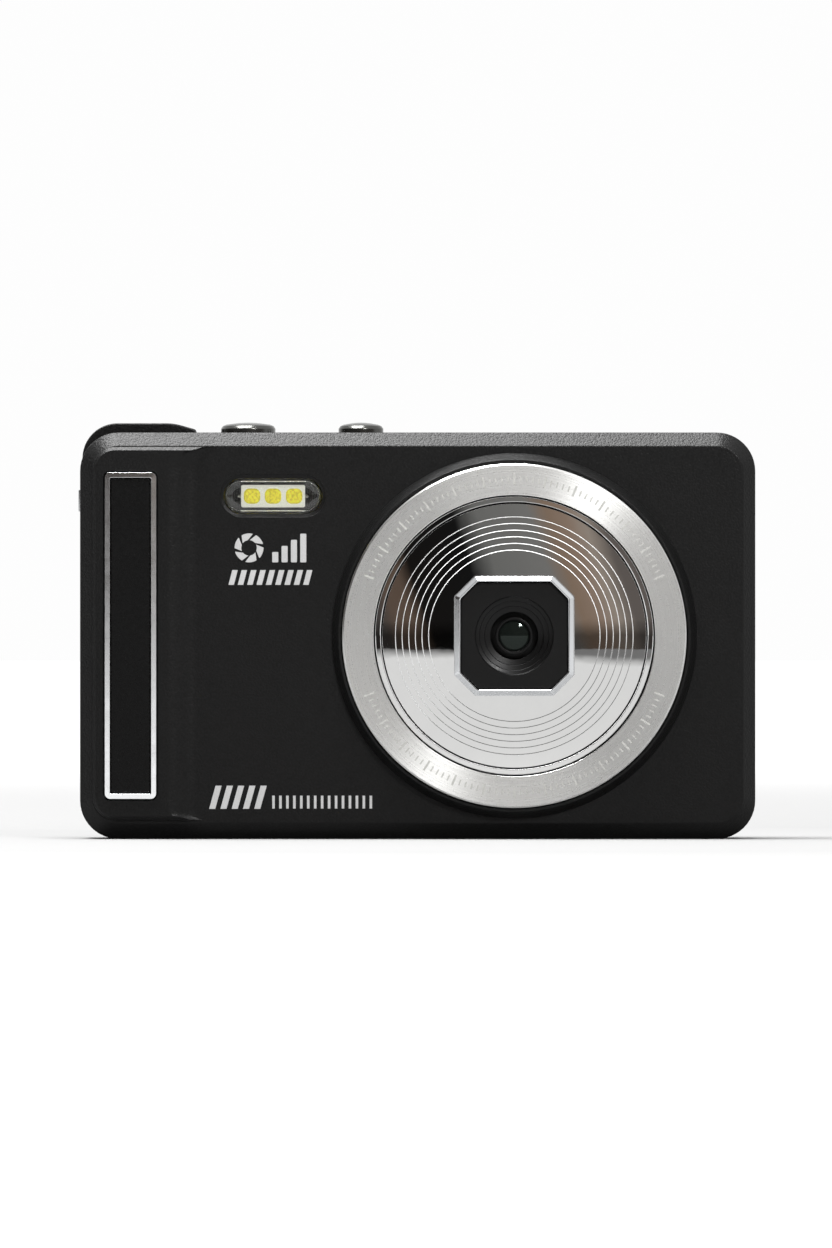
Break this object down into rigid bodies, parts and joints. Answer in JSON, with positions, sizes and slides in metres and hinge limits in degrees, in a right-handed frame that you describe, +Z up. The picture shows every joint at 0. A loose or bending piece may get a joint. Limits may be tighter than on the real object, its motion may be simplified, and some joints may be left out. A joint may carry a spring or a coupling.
{
  "type": "compact digital camera",
  "caption": "Slim compact digital camera with a ringed lens front, grip bar, light window, top buttons, rear screen and keys, battery door and card slot.",
  "frame": {"origin": "bottom centre of the camera, on the surface that it stands on, midway between the front of the lens bezel and the back of the zoom rocker", "axes": "+Z up, the lens looks along -Y, +X is to the right of a viewer facing the lens"},
  "size_m": [0.1053, 0.0242, 0.0648],
  "materials": {
    "shell_plastic": "fine satin texture, black",
    "inlay_plastic": "smooth black",
    "hood_plastic": "matt black, stepped against reflections",
    "satin_aluminium": "concentrically turned satin",
    "mirror_aluminium": "mirror polished",
    "bright_chrome": "bright plated",
    "clear_plastic": "clear moulded window",
    "lens_glass": "coated optical glass",
    "led_phosphor": "yellow phosphor on white ceramic",
    "circuit_board": "green solder mask",
    "black_chip": "moulded black",
    "sheet_steel": "plain pressed sheet",
    "contact_brass": "turned brass",
    "screen_glass": "black glossy window",
    "cell_wrap": "printed film wrap",
    "ribbon_film": "amber polyimide film"
  },
  "bodies": {
    "casing": {"front_cover": "shell_plastic", "rear_cover": "shell_plastic", "battery_box": "shell_plastic", "grip_inlay": "inlay_plastic", "lens_hood": "hood_plastic", "lens_barrel": "hood_plastic", "lens_holder": "hood_plastic", "lens_trim_ring": "satin_aluminium", "lens_inner_ring": "satin_aluminium", "lens_disc": "mirror_aluminium", "octagon_bezel": "mirror_aluminium", "grip_frame": "bright_chrome", "light_window": "clear_plastic", "front_lens": "lens_glass", "rear_lens": "lens_glass", "infrared_filter": "lens_glass", "led_array": "led_phosphor", "sensor_board": "circuit_board", "light_board": "circuit_board", "top_button_board": "circuit_board", "rear_key_board": "circuit_board", "main_board": "circuit_board", "image_sensor": "black_chip", "speaker": "black_chip", "shutter_switch": "sheet_steel", "power_switch": "sheet_steel", "microphone": "sheet_steel", "screen_tray": "sheet_steel", "processor_shield": "sheet_steel", "card_slot": "sheet_steel", "usb_connector": "sheet_steel", "door_pin": "sheet_steel", "strap_bar": "sheet_steel", "cover_screw_1": "sheet_steel", "cover_screw_2": "sheet_steel", "cover_screw_3": "sheet_steel", "cover_screw_4": "sheet_steel", "cover_screw_5": "sheet_steel", "cover_screw_6": "sheet_steel", "battery_contacts": "contact_brass", "tripod_socket": "contact_brass", "screen_window": "screen_glass", "screen_panel": "screen_glass", "battery": "cell_wrap", "sensor_ribbon": "ribbon_film"},
    "shutter_button": {"shutter_button": "bright_chrome"},
    "power_button": {"power_button": "bright_chrome"},
    "zoom_rocker": {"zoom_rocker": "bright_chrome"},
    "ok_key": {"ok_key": "shell_plastic"},
    "nav_up_key": {"nav_up_key": "shell_plastic"},
    "nav_down_key": {"nav_down_key": "shell_plastic"},
    "nav_left_key": {"nav_left_key": "shell_plastic"},
    "nav_right_key": {"nav_right_key": "shell_plastic"},
    "mode_key": {"mode_key": "shell_plastic"},
    "menu_key": {"menu_key": "shell_plastic"},
    "play_key": {"play_key": "shell_plastic"},
    "delete_key": {"delete_key": "shell_plastic"},
    "battery_door": {"battery_door": "shell_plastic"},
    "memory_card": {"memory_card": "black_chip"}
  },
  "joints": [
    {"name": "shutter_press", "type": "slide", "parent": "casing", "child": "shutter_button", "axis": [0, 0, -1], "range_m": [0, 0.0007], "stiffness_N_per_m": 800, "springref_m": -0.0004},
    {"name": "power_press", "type": "slide", "parent": "casing", "child": "power_button", "axis": [0, 0, -1], "range_m": [0, 0.0005], "stiffness_N_per_m": 800, "springref_m": -0.0004},
    {"name": "ok_press", "type": "slide", "parent": "casing", "child": "ok_key", "axis": [0, -1, 0], "range_m": [0, 0.0004], "stiffness_N_per_m": 600, "springref_m": -0.0004},
    {"name": "nav_up_press", "type": "slide", "parent": "casing", "child": "nav_up_key", "axis": [0, -1, 0], "range_m": [0, 0.0004], "stiffness_N_per_m": 600, "springref_m": -0.0004},
    {"name": "nav_down_press", "type": "slide", "parent": "casing", "child": "nav_down_key", "axis": [0, -1, 0], "range_m": [0, 0.0004], "stiffness_N_per_m": 600, "springref_m": -0.0004},
    {"name": "nav_left_press", "type": "slide", "parent": "casing", "child": "nav_left_key", "axis": [0, -1, 0], "range_m": [0, 0.0004], "stiffness_N_per_m": 600, "springref_m": -0.0004},
    {"name": "nav_right_press", "type": "slide", "parent": "casing", "child": "nav_right_key", "axis": [0, -1, 0], "range_m": [0, 0.0004], "stiffness_N_per_m": 600, "springref_m": -0.0004},
    {"name": "mode_press", "type": "slide", "parent": "casing", "child": "mode_key", "axis": [0, -1, 0], "range_m": [0, 0.0004], "stiffness_N_per_m": 600, "springref_m": -0.0004},
    {"name": "menu_press", "type": "slide", "parent": "casing", "child": "menu_key", "axis": [0, -1, 0], "range_m": [0, 0.0004], "stiffness_N_per_m": 600, "springref_m": -0.0004},
    {"name": "play_press", "type": "slide", "parent": "casing", "child": "play_key", "axis": [0, -1, 0], "range_m": [0, 0.0004], "stiffness_N_per_m": 600, "springref_m": -0.0004},
    {"name": "delete_press", "type": "slide", "parent": "casing", "child": "delete_key", "axis": [0, -1, 0], "range_m": [0, 0.0004], "stiffness_N_per_m": 600, "springref_m": -0.0004},
    {"name": "zoom_tilt", "type": "hinge", "parent": "casing", "child": "zoom_rocker", "pos_m": [-0.0335, 0.0083, 0.0535], "axis": [0, 0, 1], "range_deg": [-4, 4], "stiffness_Nm_per_rad": 0.05},
    {"name": "battery_door_swing", "type": "hinge", "parent": "casing", "child": "battery_door", "pos_m": [-0.01135, -0.0023, 0.0012], "axis": [0, -1, 0], "range_deg": [0, 90]},
    {"name": "memory_card_slide", "type": "slide", "parent": "casing", "child": "memory_card", "axis": [1, 0, 0], "range_m": [0, 0.012]}
  ]
}
